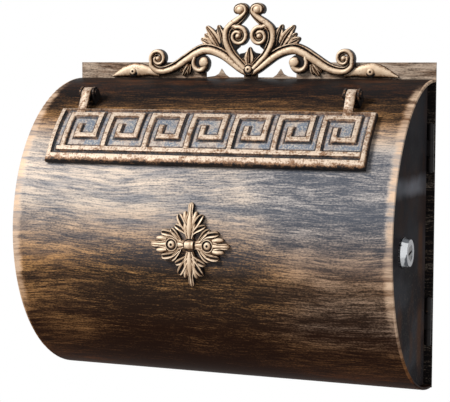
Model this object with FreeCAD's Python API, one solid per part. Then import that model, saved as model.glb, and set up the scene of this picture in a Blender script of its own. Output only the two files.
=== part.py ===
import FreeCAD, Part
import math
import os

# Wall mounted mailbox: a half-round sheet-steel drum on a flat back plate, with a
# hinged flap over its letter slot, a cast crest and rosette, and a lockable side
# door.  Millimetres.  X runs along the drum to the right as seen from the front,
# +Y points into the wall (the back plate's rear face is y = 0), Z is up, and the
# origin lies on the wall plane at the drum's axis.

# ---- driving dimensions ------------------------------------------------------
BODY_WIDTH = 330.0          # over both rims of the drum
DRUM_RADIUS = 130.0         # outside of the drum sheet
PLATE_RISE = 14.0           # back plate above the drum's top line
SHEET = 1.2                 # all sheet steel
HEM = 4.0                   # width of the folded hem at each rim
END_RECESS = 5.5            # end panels lie this far inside the rims

SCREW_SPACING_X = 220.0     # wall screw holes
SCREW_SPACING_Z = 140.0
SCREW_HOLE_R = 3.0

FLAP_WIDTH = 279.0
PIVOT_ANGLE = 58.0          # flap pins, in degrees above the front, seen from the axis
FLAP_HIGH = PIVOT_ANGLE - 7.6
FLAP_LOW = FLAP_HIGH - 23.4
FLAP_INNER_R = DRUM_RADIUS + 1.0
FLAP_FIELD_R = DRUM_RADIUS + 3.6
FLAP_OUTER_R = DRUM_RADIUS + 6.2
FRIEZE_CELLS = 7

SLOT_WIDTH = FLAP_WIDTH - 23.0    # letter slot in the drum, under the flap
SLOT_LOW = FLAP_LOW + 6.0
SLOT_HIGH = FLAP_HIGH - 4.4

PIVOT_R = DRUM_RADIUS + 8.6       # flap pins, measured from the drum axis
PIVOT_X = FLAP_WIDTH / 2 - 21.5   # each lug's distance from the middle
PIVOT_SHIFT = -3.0                # both lugs sit a little to the left
LUG_WIDTH = 8.0
EYE_R = 4.5
PIN_R = 2.0
RUN_GAP = 0.05                    # radial clearance of every turning fit

DOOR_GAP = 1.0                    # door edge to the hem around it
DOOR_HINGE_X = BODY_WIDTH / 2 - 3.2
DOOR_HINGE_Y = -4.7
DOOR_HINGE_Z = 73.0               # both hinges, above and below the axis
KNUCKLE = 13.0
KNUCKLE_R = 3.0
HINGE_PIN_R = 1.5
LIP = 14.0                        # depth of the door frame's lip

LOCK_Y = -80.5
LOCK_Z = -6.5
LOCK_BODY_R = 9.0
LOCK_HEAD_R = LOCK_BODY_R + 3.4
PLUG_R = 6.5
CAM_REACH = 40.5

CREST_ARM = 6.0                   # thickness of the crest's arms
CREST_VOLUTE = 7.8                # thickness of its scroll ends

ROSETTE_X = -1.5
ROSETTE_Z = -2.5
ROSETTE_REACH = 34.5
ROSETTE_RIVET = 15.6

# ---- derived -----------------------------------------------------------------
HALF = BODY_WIDTH / 2
INNER_R = DRUM_RADIUS - SHEET
HEM_R = DRUM_RADIUS - 2 * SHEET
DOOR_OUT = HALF - END_RECESS              # outside face of the side door
DOOR_IN = DOOR_OUT - SHEET
FRAME_OUT = DOOR_IN - 2.2                 # leaves room for the moving hinge leaf
FRAME_IN = FRAME_OUT - SHEET
DOOR_REAR = DOOR_HINGE_Y - KNUCKLE_R - 0.5
PLATE_TOP = DRUM_RADIUS + PLATE_RISE

os.makedirs("parts", exist_ok=True)


def vec(x, y, z):
    return FreeCAD.Vector(x, y, z)


def box(x0, x1, y0, y1, z0, z1):
    return Part.makeBox(x1 - x0, y1 - y0, z1 - z0, vec(x0, y0, z0))


def rod_x(x0, x1, y, z, r):
    return Part.makeCylinder(r, x1 - x0, vec(x0, y, z), vec(1, 0, 0))


def rod_y(x, y0, y1, z, r):
    return Part.makeCylinder(r, y1 - y0, vec(x, y0, z), vec(0, 1, 0))


def rod_z(x, y, z0, z1, r):
    return Part.makeCylinder(r, z1 - z0, vec(x, y, z0), vec(0, 0, 1))


def polar(r, angle):
    """Y and Z of a point r from the drum's axis, angle degrees above the front."""
    a = math.radians(angle)
    return -r * math.cos(a), r * math.sin(a)


def prism_x(points, x0, x1):
    """Solid with a (y, z) outline, from x0 to x1."""
    wire = Part.makePolygon([vec(x0, y, z) for y, z in points + points[:1]])
    return Part.Face(wire).extrude(vec(x1 - x0, 0, 0))


def prism_y(points, y0, y1):
    """Solid with an (x, z) outline, from y0 to y1."""
    wire = Part.makePolygon([vec(x, y0, z) for x, z in points + points[:1]])
    return Part.Face(wire).extrude(vec(0, y1 - y0, 0))


def sector(r0, r1, a0, a1, x0, x1):
    """Curved plate about the drum's axis between two radii and two angles."""
    mid = (a0 + a1) / 2
    spots = {}
    for name, r, a in (("ia", r0, a0), ("im", r0, mid), ("ib", r0, a1),
                       ("oa", r1, a0), ("om", r1, mid), ("ob", r1, a1)):
        y, z = polar(r, a)
        spots[name] = vec(x0, y, z)
    edges = [Part.Arc(spots["ia"], spots["im"], spots["ib"]).toShape(),
             Part.makeLine(spots["ib"], spots["ob"]),
             Part.Arc(spots["ob"], spots["om"], spots["oa"]).toShape(),
             Part.makeLine(spots["oa"], spots["ia"])]
    return Part.Face(Part.Wire(edges)).extrude(vec(x1 - x0, 0, 0))


def half_disc(r, y_rear, x0, x1):
    """D-shaped plate of radius r about the axis, cut flat at y_rear."""
    disc = rod_x(x0, x1, 0, 0, r)
    return disc.common(box(x0 - 1, x1 + 1, -r - 1, y_rear, -r - 1, r + 1))


def band(points, widths, y0, y1):
    """Smooth bar along (x, z) points, with its own width at each point."""
    left, right = [], []
    last = len(points) - 1
    for i, (x, z) in enumerate(points):
        ax, az = points[max(i - 1, 0)]
        bx, bz = points[min(i + 1, last)]
        length = math.hypot(bx - ax, bz - az)
        nx, nz = -(bz - az) / length, (bx - ax) / length
        w = widths[i] / 2
        left.append(vec(x + nx * w, y0, z + nz * w))
        right.append(vec(x - nx * w, y0, z - nz * w))
    side_a, side_b = Part.BSplineCurve(), Part.BSplineCurve()
    side_a.interpolate(left)
    side_b.interpolate(right)
    wire = Part.Wire([side_a.toShape(), Part.makeLine(left[-1], right[-1]),
                      side_b.toShape(), Part.makeLine(right[0], left[0])])
    return Part.Face(wire).extrude(vec(0, y1 - y0, 0))


def mirrored(shape):
    return shape.mirror(vec(0, 0, 0), vec(1, 0, 0))


def joined(shapes):
    return shapes[0].multiFuse(shapes[1:]).removeSplitter()


def write(name, shape):
    shape.exportStep("parts/" + name + ".step")


# ---- back plate --------------------------------------------------------------
# The strip above the drum is cut away beside a middle tongue, so daylight shows
# under the crest's arms.
notch = [(6.5, PLATE_TOP + 1), (6.5, DRUM_RADIUS + 1), (20.5, DRUM_RADIUS + 1),
         (24.0, DRUM_RADIUS + 3.4), (27.6, DRUM_RADIUS + 8.4), (30.2, DRUM_RADIUS + 4),
         (34.0, DRUM_RADIUS + 2), (42.0, DRUM_RADIUS + 1), (42.0, PLATE_TOP + 1)]
plate = box(-HALF, HALF, -SHEET, 0, -DRUM_RADIUS, PLATE_TOP)
for flip in (1, -1):
    plate = plate.cut(prism_y([(flip * x, z) for x, z in notch], -3, 2))
    for sz in (-1, 1):
        plate = plate.cut(rod_y(flip * SCREW_SPACING_X / 2, -3, 2,
                                sz * SCREW_SPACING_Z / 2, SCREW_HOLE_R))

# ---- drum shell --------------------------------------------------------------
ROUND = 0.9
bend = ROUND * (1 - math.sqrt(0.5))


def rim_profile(side):
    """Rounded hem section at one rim, from the outside face to the inside one."""
    tip, outer, inner = side * HALF, DRUM_RADIUS, HEM_R
    return [(tip - side * ROUND, outer), (tip - side * bend, outer - bend), (tip, outer - ROUND),
            (tip, inner + ROUND), (tip - side * bend, inner + bend), (tip - side * ROUND, inner),
            (tip - side * HEM, inner), (tip - side * HEM, INNER_R)]


right = [vec(x, 0, r) for x, r in rim_profile(1)]
left = [vec(x, 0, r) for x, r in rim_profile(-1)]
outline = [Part.makeLine(left[0], right[0])]
for pts in (right, left):
    outline += [Part.Arc(pts[0], pts[1], pts[2]).toShape(), Part.makeLine(pts[2], pts[3]),
                Part.Arc(pts[3], pts[4], pts[5]).toShape(), Part.makeLine(pts[5], pts[6]),
                Part.makeLine(pts[6], pts[7])]
outline.append(Part.makeLine(right[7], left[7]))
profile = Part.Face(Part.Wire(Part.__sortEdges__(outline)))
shell = profile.revolve(vec(0, 0, 0), vec(1, 0, 0), 180)
shell = shell.common(box(-HALF - 1, HALF + 1, -DRUM_RADIUS - 1, -SHEET,
                         -DRUM_RADIUS - 1, DRUM_RADIUS + 1))
FLANGE = 14.0
flange_x = HALF - END_RECESS - SHEET - 10.0
for sz in (-1, 1):
    z0, z1 = sorted((sz * (INNER_R - FLANGE), sz * (INNER_R + 0.4)))
    shell = shell.fuse(box(-flange_x, flange_x, -2 * SHEET, -SHEET, z0, z1))
slot = sector(INNER_R - 4, DRUM_RADIUS + 4, SLOT_LOW, SLOT_HIGH, -SLOT_WIDTH / 2, SLOT_WIDTH / 2)
shell = shell.cut(slot).removeSplitter()

# ---- left end panel: a flanged D-shaped cup ----------------------------------
end_out = -DOOR_OUT
end_panel = half_disc(INNER_R, -SHEET, end_out, end_out + SHEET)
cup = half_disc(INNER_R, -SHEET, end_out + SHEET, end_out + 9)
cup = cup.cut(half_disc(INNER_R - SHEET, -2 * SHEET, end_out, end_out + 10))
end_panel = end_panel.fuse(cup).removeSplitter()

# ---- door frame: the D-shaped ring the side door shuts in front of ------------
frame = half_disc(INNER_R, -SHEET, FRAME_IN, FRAME_OUT)
frame = frame.cut(half_disc(INNER_R - LIP, -SHEET - 12, FRAME_IN - 1, FRAME_OUT + 1))

# ---- side door ---------------------------------------------------------------
door_r = HEM_R - DOOR_GAP
door = half_disc(door_r, DOOR_REAR, DOOR_IN, DOOR_OUT)
door = door.cut(rod_x(DOOR_IN - 1, DOOR_OUT + 1, LOCK_Y, LOCK_Z, LOCK_BODY_R))

# ---- door hinges: three knuckles each, the middle one on the door -------------
LEAF = 1.2
LEAF_HALF = 20.0
fixed_leaves, moving_leaves, hinge_pins = [], [], []
for sz in (1, -1):
    mid = sz * DOOR_HINGE_Z
    fixed = box(DOOR_HINGE_X - 24, DOOR_HINGE_X, -SHEET - LEAF, -SHEET,
                mid - LEAF_HALF, mid + LEAF_HALF)
    fixed = fixed.cut(box(DOOR_HINGE_X - KNUCKLE_R - 1, DOOR_HINGE_X + 1, -SHEET - LEAF - 1, 0,
                          mid - KNUCKLE / 2 - 0.4, mid + KNUCKLE / 2 + 0.4))
    for z0 in (mid - 1.5 * KNUCKLE - 0.4, mid + 0.5 * KNUCKLE + 0.4):
        fixed = fixed.fuse(rod_z(DOOR_HINGE_X, DOOR_HINGE_Y, z0, z0 + KNUCKLE, KNUCKLE_R))
    fixed = fixed.cut(rod_z(DOOR_HINGE_X, DOOR_HINGE_Y, mid - 30, mid + 30, HINGE_PIN_R))
    fixed_leaves.append(fixed.removeSplitter())
    frame = frame.cut(box(FRAME_IN - 1, FRAME_OUT + 1, -SHEET - LEAF, 0,
                          mid - LEAF_HALF, mid + LEAF_HALF))

    moving = box(DOOR_IN - LEAF, DOOR_IN, -27, DOOR_REAR, mid - LEAF_HALF, mid + LEAF_HALF)
    tab_y = DOOR_HINGE_Y - KNUCKLE_R
    z0, z1 = mid - KNUCKLE / 2, mid + KNUCKLE / 2
    moving = moving.fuse(box(DOOR_IN - LEAF, DOOR_IN, DOOR_REAR, tab_y + LEAF, z0, z1))
    moving = moving.fuse(box(DOOR_IN - LEAF, DOOR_HINGE_X, tab_y, tab_y + LEAF, z0, z1))
    moving = moving.fuse(rod_z(DOOR_HINGE_X, DOOR_HINGE_Y, z0, z1, KNUCKLE_R))
    moving = moving.cut(rod_z(DOOR_HINGE_X, DOOR_HINGE_Y, z0 - 1, z1 + 1, HINGE_PIN_R + RUN_GAP))
    moving_leaves.append(moving.removeSplitter())

    reach = 1.5 * KNUCKLE + 0.4
    hinge_pins.append(rod_z(DOOR_HINGE_X, DOOR_HINGE_Y, mid - reach - 0.8, mid + reach + 0.8,
                            HINGE_PIN_R))

# ---- flap brackets: a base, two ears and a rear web that stops the flap -------
EAR = 1.5
ear_in = LUG_WIDTH / 2 + 1.0
ear_out = ear_in + EAR
rise = PIVOT_R - DRUM_RADIUS
pin_y, pin_z = polar(PIVOT_R, PIVOT_ANGLE)
lug_centres = (PIVOT_SHIFT - PIVOT_X, PIVOT_SHIFT + PIVOT_X)


def in_bracket_frame(points):
    """(along the drum surface upwards, outwards) about the pin to (y, z)."""
    a = math.radians(PIVOT_ANGLE)
    along, out = (math.sin(a), math.cos(a)), (-math.cos(a), math.sin(a))
    return [(pin_y + u * along[0] + v * out[0], pin_z + u * along[1] + v * out[1])
            for u, v in points]


drum_core = rod_x(-HALF, HALF, 0, 0, DRUM_RADIUS)
brackets, flap_pins = [], []
for cx in lug_centres:
    web = prism_x(in_bracket_frame([(5.0, -rise - 1), (6.4, -rise - 1), (6.4, 1.5), (5.0, 1.5)]),
                  cx - ear_in, cx + ear_in)
    base = prism_x(in_bracket_frame([(-6, -rise - 1), (6.4, -rise - 1), (6.4, 1.6 - rise),
                                     (-6, 1.6 - rise)]), cx - ear_out, cx + ear_out)
    bracket = web.fuse(base)
    for x0 in (cx - ear_out, cx + ear_in):
        ear = prism_x(in_bracket_frame([(-6, -rise - 1), (6.4, -rise - 1), (6.4, -1), (4.9, 1.0),
                                        (-4.9, 1.0), (-6, -4)]), x0, x0 + EAR)
        bracket = bracket.fuse(ear).fuse(rod_x(x0, x0 + EAR, pin_y, pin_z, 5.0))
    bracket = bracket.cut(drum_core)
    bracket = bracket.cut(rod_x(cx - 20, cx + 20, pin_y, pin_z, PIN_R))
    brackets.append(bracket.removeSplitter())
    pin = rod_x(cx - ear_out, cx + ear_out, pin_y, pin_z, PIN_R)
    for x0 in (cx - ear_out - 1.4, cx + ear_out):
        pin = pin.fuse(rod_x(x0, x0 + 1.4, pin_y, pin_z, 3.3))
    flap_pins.append(pin.removeSplitter())

# ---- letter flap: curved casting with a raised border, key frieze and two lugs -
fx = FLAP_WIDTH / 2
flap = sector(FLAP_INNER_R, FLAP_OUTER_R, FLAP_LOW, FLAP_HIGH, -fx, fx)
SIDE_BORDER = 5.0
FIELD_LOW = FLAP_LOW + 3.4
FIELD_HIGH = FLAP_HIGH - 0.9
flap = flap.cut(sector(FLAP_FIELD_R, FLAP_OUTER_R + 3, FIELD_LOW, FIELD_HIGH,
                       -fx + SIDE_BORDER, fx - SIDE_BORDER))

mid_angle = (FIELD_LOW + FIELD_HIGH) / 2
STROKE = 4.6
CELL = (FLAP_WIDTH - 2 * SIDE_BORDER - 6) / FRIEZE_CELLS
KEY_W = CELL - 6.0
KEY_H = 40.0
key_strokes = [(-3.0, 0, CELL, STROKE),
               (0, 0, STROKE, KEY_H), (0, KEY_H - STROKE, KEY_W, STROKE),
               (KEY_W - STROKE, 13.0, STROKE, KEY_H - 13.0), (10.5, 13.0, KEY_W - 10.5, STROKE),
               (10.5, 13.0, STROKE, 14.0)]
ma = math.radians(mid_angle)
up = vec(0, math.sin(ma), math.cos(ma))
out = vec(0, -math.cos(ma), math.sin(ma))
relief_zone = sector(FLAP_FIELD_R - 0.6, FLAP_OUTER_R - 0.4, FIELD_LOW, FIELD_HIGH,
                     -fx + SIDE_BORDER, fx - SIDE_BORDER)
keys = []
for i in range(FRIEZE_CELLS):
    start = -fx + SIDE_BORDER + 3 + i * CELL + 3.0
    for sx, sh, w, h in key_strokes:
        corner = vec(start + sx, 0, 0) + up * (sh - KEY_H / 2) + out * (DRUM_RADIUS - 10)
        block = Part.makePlane(w, h, corner, out, vec(1, 0, 0))
        block = block.extrude(out * 30)
        keys.append(block)
key_row = keys[0].multiFuse(keys[1:]).common(relief_zone)
flap = flap.fuse(key_row)
for cx in lug_centres:
    neck = []
    for r, a in ((PIVOT_R + EYE_R, PIVOT_ANGLE), (PIVOT_R + EYE_R, PIVOT_ANGLE - 1.6),
                 (FLAP_OUTER_R + 2.6, FLAP_HIGH + 1.6), (FLAP_OUTER_R + 0.2, FLAP_HIGH - 0.8),
                 (FLAP_INNER_R + 1.2, FLAP_HIGH - 0.8), (FLAP_INNER_R + 1.6, FLAP_HIGH + 1.0),
                 (PIVOT_R - 0.8, PIVOT_ANGLE - 2.6), (PIVOT_R, PIVOT_ANGLE)):
        neck.append(polar(r, a))
    flap = flap.fuse(prism_x(neck, cx - LUG_WIDTH / 2, cx + LUG_WIDTH / 2))
    flap = flap.fuse(rod_x(cx - LUG_WIDTH / 2, cx + LUG_WIDTH / 2, pin_y, pin_z, EYE_R))
    flap = flap.cut(rod_x(cx - 20, cx + 20, pin_y, pin_z, PIN_R + RUN_GAP))
flap = flap.removeSplitter()

# ---- crest: scrollwork riveted to the strip above the drum --------------------
front = -SHEET


def bar(points, widths, depth):
    """Scroll bar through (x, height above the drum) points."""
    return band([(x, DRUM_RADIUS + h) for x, h in points], widths, front - depth, front)


def disc(x, h, r, depth):
    return rod_y(x, front - depth, front, DRUM_RADIUS + h, r)


def plate_piece(points, depth):
    return prism_y([(x, DRUM_RADIUS + h) for x, h in points], front - depth, front)


arm = bar([(1, 4.6), (8, 8.6), (15, 14), (24, 20.8), (33.5, 25), (42, 26), (50, 23),
           (60, 16.8), (70, 10.4), (80, 6.9), (94, 4.8)],
          [7.5, 7.5, 8.4, 8.6, 8.4, 8.8, 9.4, 9, 8.8, 8.8, 8], CREST_ARM)
heart = bar([(3.5, 9.5), (10, 15.4), (15.3, 21), (19.8, 29.5), (21.2, 36), (20, 42.2),
             (15.6, 46.6), (9.8, 50.4), (4.6, 54.6), (3.0, 59.5)],
            [7, 7.2, 7.4, 7.6, 7.6, 7.6, 7.6, 7.2, 6, 4.6], CREST_ARM + 0.6)
curl = bar([(17.5, 46.0), (10.5, 44.8), (5.0, 41.5)], [4.5, 4.5, 4.0], CREST_ARM)
leaf = plate_piece([(22, 46), (31, 46.8), (33.2, 42.8), (40.6, 45.6), (42.0, 38.9),
                    (45.6, 31.5), (38, 26), (25, 25)], 4.6)
foot = plate_piece([(86, 0.9), (133.3, 0.9), (133.3, 2.2), (125.6, 6.0), (117.8, 12.0),
                    (110.0, 14.6), (103.0, 12.6), (95.0, 7.6), (88, 6.6)], 4.4)
bud = plate_piece([(53.5, 12.5), (60.6, 11.2), (65.4, 5.0), (62.9, 1.0), (57.2, 3.4)], 4.0)
half = [arm, heart, curl, leaf, foot, bud, disc(7.6, 59.1, 6.5, CREST_VOLUTE),
        disc(8.9, 36.5, 7.7, CREST_VOLUTE), disc(86.4, 16.8, 8.7, CREST_VOLUTE),
        disc(45.0, 12.4, 9.0, CREST_VOLUTE)]
centre_bud = plate_piece([(0, 28.0), (-5.4, 21.0), (-3.2, 12.0), (3.2, 12.0), (5.4, 21.0)], 5.4)
boss = disc(0, 7.6, 6.8, CREST_ARM + 0.4)
crest = joined(half + [mirrored(s) for s in half] + [centre_bud, boss])

crest_rivet_spots = ((-111.5, 5.8, 4.4), (0.0, 7.8, CREST_ARM + 0.4), (109.5, 5.8, 4.4))
RIVET_R = 1.6
RIVET_HEAD_R = 3.1


def dome(depth):
    """Pop-rivet head along -Y from its seat at the origin, with the mandrel hole."""
    ball_r = (RIVET_HEAD_R ** 2 + depth ** 2) / (2 * depth)
    ball = Part.makeSphere(ball_r, vec(0, ball_r - depth, 0))
    head = ball.common(rod_y(0, -depth - 1, 0, 0, RIVET_HEAD_R + 1))
    return head.cut(rod_y(0, -depth - 1, -0.5 * depth, 0, 0.8))


crest_rivets = []
for x, h, depth in crest_rivet_spots:
    z = DRUM_RADIUS + h
    hole = rod_y(x, front - depth, 0, z, RIVET_R)
    crest = crest.cut(hole)
    plate = plate.cut(hole)
    head = dome(1.6)
    head.translate(vec(x, front - depth, z))
    crest_rivets.append(head.fuse(hole).removeSplitter())

# ---- rosette: a four-armed leaf cross bent to the drum ------------------------
petal = [(0, 4.2), (5, 6.0), (9, 9.6), (13, 8.6), (16.5, 11.4), (21, 8.4), (25.5, 4.0),
         (ROSETTE_REACH, 1.2), (ROSETTE_REACH, -1.2), (25.5, -4.0), (21, -8.4), (16.5, -11.4),
         (13, -8.6), (9, -9.6), (5, -6.0), (0, -4.2)]
arms = []
for turn in range(4):
    c, s = ((1, 0), (0, 1), (-1, 0), (0, -1))[turn]
    points = [(ROSETTE_X + c * u - s * v, ROSETTE_Z + s * u + c * v) for u, v in petal]
    arms.append(prism_y(points, -DRUM_RADIUS - 20, -DRUM_RADIUS + 20))
flower = arms[0].multiFuse(arms[1:])
ring = rod_x(ROSETTE_X - 60, ROSETTE_X + 60, 0, 0, DRUM_RADIUS + 3.4).cut(drum_core)
rosette = flower.common(ring)
for size, r in ((7.0, DRUM_RADIUS + 5.2), (4.4, DRUM_RADIUS + 6.6)):
    bead = box(ROSETTE_X - size, ROSETTE_X + size, -r, -DRUM_RADIUS + 6,
               ROSETTE_Z - size, ROSETTE_Z + size)
    rosette = rosette.fuse(bead.cut(drum_core))
rosette = rosette.removeSplitter()
rosette_rivets = []
seat = DRUM_RADIUS + 3.0
for side in (-1, 1):
    x = ROSETTE_X + side * ROSETTE_RIVET
    hole = rod_y(x, -DRUM_RADIUS - 8, -INNER_R + 2, ROSETTE_Z, RIVET_R)
    pocket = rod_y(x, -DRUM_RADIUS - 8, -seat, ROSETTE_Z, RIVET_HEAD_R)
    rosette = rosette.cut(hole).cut(pocket)
    shell = shell.cut(hole)
    shank = rod_y(x, -seat, -INNER_R + 1.6, ROSETTE_Z, RIVET_R)
    tail = rod_y(x, -INNER_R + 0.1, -INNER_R + 1.8, ROSETTE_Z, 2.5)
    tail = tail.cut(rod_x(-HALF, HALF, 0, 0, DRUM_RADIUS).cut(rod_x(-HALF, HALF, 0, 0, INNER_R)))
    head = dome(1.6)
    head.translate(vec(x, -seat, ROSETTE_Z))
    rosette_rivets.append(head.fuse(shank).fuse(tail).removeSplitter())

# ---- cam lock ----------------------------------------------------------------
HEAD_THICK = 6.6
body_in = DOOR_OUT - 14.5
head_face = DOOR_OUT + HEAD_THICK
rim = rod_x(DOOR_OUT, DOOR_OUT + 1.6, LOCK_Y, LOCK_Z, LOCK_HEAD_R)
bevel = Part.makeCone(LOCK_HEAD_R, LOCK_HEAD_R - 1.6, HEAD_THICK - 1.6,
                      vec(DOOR_OUT + 1.6, LOCK_Y, LOCK_Z), vec(1, 0, 0))
housing = rim.fuse(bevel).fuse(rod_x(body_in, DOOR_OUT, LOCK_Y, LOCK_Z, LOCK_BODY_R))
housing = housing.cut(rod_x(body_in - 1, head_face + 1, LOCK_Y, LOCK_Z, PLUG_R + RUN_GAP))
housing = housing.removeSplitter()

NUT_AF = 2 * LOCK_BODY_R + 4.0
nut_points = [(LOCK_Y + NUT_AF / math.sqrt(3) * math.cos(math.radians(60 * i)),
               LOCK_Z + NUT_AF / math.sqrt(3) * math.sin(math.radians(60 * i))) for i in range(6)]
lock_nut = prism_x(nut_points, DOOR_IN - 3, DOOR_IN)
lock_nut = lock_nut.cut(rod_x(DOOR_IN - 4, DOOR_IN + 1, LOCK_Y, LOCK_Z, LOCK_BODY_R))

plug_in = body_in - 0.6
plug = rod_x(plug_in, head_face - 0.3, LOCK_Y, LOCK_Z, PLUG_R)
key_slot = box(head_face - 3.5, head_face + 1, LOCK_Y - 5.0, LOCK_Y + 5.0, LOCK_Z - 0.9, LOCK_Z + 0.9)
key_slot.rotate(vec(0, LOCK_Y, LOCK_Z), vec(1, 0, 0), 14)
plug = plug.cut(key_slot)

CAM_T = 2.0
CAM_W = 14.0
cam_hub_in = plug_in - CAM_T
arm_out = FRAME_IN - 0.7
step = LOCK_Z + LOCK_BODY_R + 3.5
cam = rod_x(cam_hub_in, plug_in, LOCK_Y, LOCK_Z, CAM_W / 2)
cam = cam.fuse(box(cam_hub_in, plug_in, LOCK_Y - CAM_W / 2, LOCK_Y + CAM_W / 2, LOCK_Z, step + CAM_T))
cam = cam.fuse(box(cam_hub_in, arm_out, LOCK_Y - CAM_W / 2, LOCK_Y + CAM_W / 2, step, step + CAM_T))
cam = cam.fuse(box(arm_out - CAM_T, arm_out, LOCK_Y - CAM_W / 2, LOCK_Y + CAM_W / 2, step,
                   LOCK_Z + CAM_REACH - CAM_W / 2))
cam = cam.fuse(rod_x(arm_out - CAM_T, arm_out, LOCK_Y, LOCK_Z + CAM_REACH - CAM_W / 2, CAM_W / 2))
screw_hole = rod_x(cam_hub_in, plug_in + 6, LOCK_Y, LOCK_Z, 2.0)
cam = cam.cut(screw_hole).removeSplitter()
plug = plug.cut(screw_hole)
cam_screw = rod_x(cam_hub_in - 2.2, cam_hub_in, LOCK_Y, LOCK_Z, 3.6).fuse(screw_hole)
cam_screw = cam_screw.cut(box(cam_hub_in - 2.3, cam_hub_in - 1.2, LOCK_Y - 5, LOCK_Y + 5,
                              LOCK_Z - 0.5, LOCK_Z + 0.5)).removeSplitter()

# ---- files -------------------------------------------------------------------
write("back_plate", plate)
write("drum_shell", shell)
write("left_end_panel", end_panel)
write("door_frame", frame)
write("side_door", door)
write("hinge_leaf_fixed_upper", fixed_leaves[0])
write("hinge_leaf_fixed_lower", fixed_leaves[1])
write("hinge_leaf_door_upper", moving_leaves[0])
write("hinge_leaf_door_lower", moving_leaves[1])
write("door_hinge_pins", Part.makeCompound(hinge_pins))
write("flap_bracket_left", brackets[0])
write("flap_bracket_right", brackets[1])
write("flap_pins", Part.makeCompound(flap_pins))
write("letter_flap", flap)
write("crest", crest)
write("crest_rivets", Part.makeCompound(crest_rivets))
write("rosette", rosette)
write("rosette_rivets", Part.makeCompound(rosette_rivets))
write("lock_housing", housing)
write("lock_nut", lock_nut)
write("lock_plug", plug)
write("lock_cam", cam)
write("lock_cam_screw", cam_screw)
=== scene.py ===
import math

import bmesh
import bpy
from bpy.props import FloatProperty, FloatVectorProperty, PointerProperty
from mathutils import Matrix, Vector


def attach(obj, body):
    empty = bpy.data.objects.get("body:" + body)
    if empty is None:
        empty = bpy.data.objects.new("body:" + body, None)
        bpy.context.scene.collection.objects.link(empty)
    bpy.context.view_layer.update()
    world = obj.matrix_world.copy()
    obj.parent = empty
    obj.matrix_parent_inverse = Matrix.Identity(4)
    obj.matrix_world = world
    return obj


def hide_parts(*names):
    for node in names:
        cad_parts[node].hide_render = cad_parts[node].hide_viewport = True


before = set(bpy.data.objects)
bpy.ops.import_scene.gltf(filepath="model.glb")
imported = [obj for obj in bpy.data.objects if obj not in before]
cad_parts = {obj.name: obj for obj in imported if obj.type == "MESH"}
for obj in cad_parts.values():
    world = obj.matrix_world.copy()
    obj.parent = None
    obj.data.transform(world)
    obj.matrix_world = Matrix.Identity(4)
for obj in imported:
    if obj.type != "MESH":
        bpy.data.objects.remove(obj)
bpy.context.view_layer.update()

bl_info = {
    "name": "Half-round wall mailbox",
    "version": (1, 0, 0),
    "blender": (4, 5, 0),
    "location": "3D View > Sidebar > Mailbox",
    "description": "Dresses the half-round mailbox: brushed enamel, castings, lock and studio",
    "category": "Object",
}

MM = 0.001

# Sizes shared with the solid model, in millimetres and degrees, about the drum's axis.
DRUM_R = 130.0
PLATE_FRONT = 1.2
FLAP_BACK_R = 131.0
FLAP_FIELD_R = 133.6
FLAP_FACE_R = 136.2
FLAP_LOW, FLAP_HIGH = 27.0, 50.4  # degrees above the front
FLAP_HALF = 139.5
FLAP_TALL = math.radians(FLAP_HIGH - FLAP_LOW) * FLAP_FIELD_R
PIN_R, PIN_ANGLE = 138.6, 58.0
LUG_CENTRES = (-121.0, 115.0)
LUG_WIDTH = 8.0
CREST_RIVETS = ((-111.5, 5.8, 4.4), (0.0, 7.8, 6.4), (109.5, 5.8, 4.4))  # x, height, seat
ROSETTE_X, ROSETTE_Z = -1.5, -2.5
ROSETTE_RIVET = 15.6  # each rivet's distance from the centre
ROSETTE_SEAT = 3.0  # each rivet's head over the drum, its foot under it
LOCK_Y, LOCK_Z, LOCK_FACE = -80.5, -6.5, 166.1
KEY_SLOT_R = 5.3


# ---- plain geometry helpers ----

def polar(r, angle):
    """Y and Z, in millimetres, of a point r from the drum's axis, degrees above the front."""
    a = math.radians(angle)
    return -r * math.cos(a), r * math.sin(a)


def smoothstep(x):
    x = min(max(x, 0.0), 1.0)
    return x * x * (3 - 2 * x)


def smooth_path(knots, step=0.9):
    """Even samples of a Catmull-Rom curve through knots of any number of values."""
    pts = [knots[0]] + list(knots) + [knots[-1]]
    samples = []
    for p0, p1, p2, p3 in zip(pts, pts[1:], pts[2:], pts[3:]):
        count = max(2, int(math.dist(p1[:2], p2[:2]) / step))
        for k in range(count):
            t = k / count
            samples.append(tuple(
                0.5 * (2 * b + (c - a) * t + (2 * a - 5 * b + 4 * c - d) * t * t
                       + (3 * b - 3 * c + d - a) * t ** 3)
                for a, b, c, d in zip(p0, p1, p2, p3)))
    samples.append(tuple(knots[-1]))
    return samples


def spiral(cx, cz, r_out, r_in, start, sweep, w_out, w_in, h_out, h_in, fall):
    """Knots of a scroll end that winds in, slowly at first for a large fall: (x, z, width, height)."""
    knots = []
    steps = 22
    for k in range(steps + 1):
        t = k / steps
        a = math.radians(start + sweep * t)
        r = r_out + (r_in - r_out) * t ** fall
        knots.append((cx + r * math.cos(a), cz + r * math.sin(a),
                      w_out + (w_in - w_out) * t, h_out + (h_in - h_out) * t))
    return knots


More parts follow.
